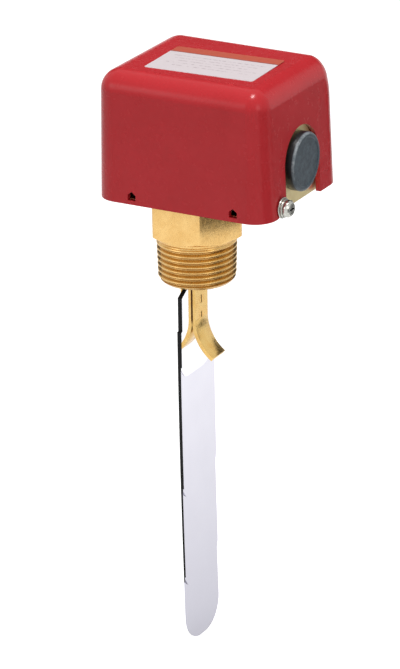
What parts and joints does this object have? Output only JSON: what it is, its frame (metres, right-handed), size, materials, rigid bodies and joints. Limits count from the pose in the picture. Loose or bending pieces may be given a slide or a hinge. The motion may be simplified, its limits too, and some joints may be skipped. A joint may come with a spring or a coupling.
{
  "type": "paddle flow switch",
  "caption": "Paddle flow switch: red drafted cover over a snap switch, brass pipe-thread body, bellows-sealed lever and a stepped spring-leaf paddle between flared brass wings.",
  "frame": {"origin": "on the pipe thread's axis, at the shoulder where the thread meets the hexagon", "axes": "+Z along the thread axis up into the cover, +X towards the conduit entry, the paddle faces lie across X"},
  "size_m": [0.0864, 0.066, 0.2548],
  "materials": {
    "brass": "machined",
    "bronze_bellows": "formed",
    "red_moulding": "satin moulded",
    "label": "printed film",
    "plated_sheet": "yellow zinc plated",
    "steel_sheet": "plain zinc plated",
    "screw_steel": "bright plated",
    "spring_leaf": "mirror rolled",
    "spring_wire": "drawn",
    "black_rubber": "moulded",
    "gasket_fibre": "pressed fibre",
    "switch_black": "moulded",
    "switch_button": "moulded",
    "earth_green": "green lacquer"
  },
  "bodies": {
    "base": {"brass_body": "brass", "body_screws": "screw_steel", "bellows": "bronze_bellows", "body_gasket": "gasket_fibre", "bellows_ring": "brass", "base_plate": "plated_sheet", "conduit_grommet": "black_rubber", "cover_screws": "screw_steel", "plain_washers": "screw_steel", "spring_washers": "screw_steel", "earth_screw": "earth_green", "earth_washer": "brass", "mechanism_frame": "steel_sheet", "frame_screws": "screw_steel", "pivot_pin": "screw_steel", "pivot_clips": "screw_steel", "pivot_spacers": "brass", "range_spring": "spring_wire", "switch_case": "switch_black", "switch_base": "switch_black", "terminal_plates": "brass", "terminal_screws": "screw_steel", "switch_bracket": "steel_sheet", "bracket_screws": "screw_steel", "switch_screws": "screw_steel"},
    "cover": {"cover": "red_moulding", "rating_label": "label"},
    "lever": {"lever_head": "brass", "lever_stem": "brass", "bellows_cap": "brass", "crank_plate": "steel_sheet", "crank_screws": "screw_steel", "upstream_wing": "brass", "downstream_wing": "brass", "clamp_screws": "brass", "clamp_nuts": "brass", "paddle_leaf_1": "spring_leaf", "paddle_leaf_2": "spring_leaf", "paddle_leaf_3": "spring_leaf", "paddle_leaf_4": "spring_leaf"},
    "plunger": {"switch_plunger": "switch_button"},
    "range_screw": {"range_screw": "screw_steel", "range_clip": "screw_steel"},
    "range_nut": {"range_nut": "brass"}
  },
  "joints": [
    {"name": "cover_lift", "type": "slide", "parent": "base", "child": "cover", "axis": [0, 0, 1], "range_m": [0, 0.06]},
    {"name": "paddle_swing", "type": "hinge", "parent": "base", "child": "lever", "pos_m": [0, 0, 0.03], "axis": [0, 1, 0], "range_deg": [0, 4], "stiffness_Nm_per_rad": 0.4, "springref_deg": -11.46, "deforming": ["bellows", "range_spring"]},
    {"name": "switch_plunger_press", "type": "slide", "parent": "base", "child": "plunger", "axis": [1, 0, 0], "range_m": [0, 0.0012]},
    {"name": "range_screw_turn", "type": "hinge", "parent": "base", "child": "range_screw", "pos_m": [-0.015, 0, 0.0615], "axis": [0, 0, 1], "range_deg": [0, 1800]},
    {"name": "range_nut_travel", "type": "slide", "parent": "base", "child": "range_nut", "axis": [0, 0, -1], "range_m": [0, 0.004], "deforming": ["range_spring"]}
  ],
  "couplings": [
    {"joint": "switch_plunger_press", "follows": "paddle_swing", "m_per_rad": 0.0165},
    {"joint": "range_screw_turn", "follows": "range_nut_travel", "rad_per_m": 7854}
  ]
}
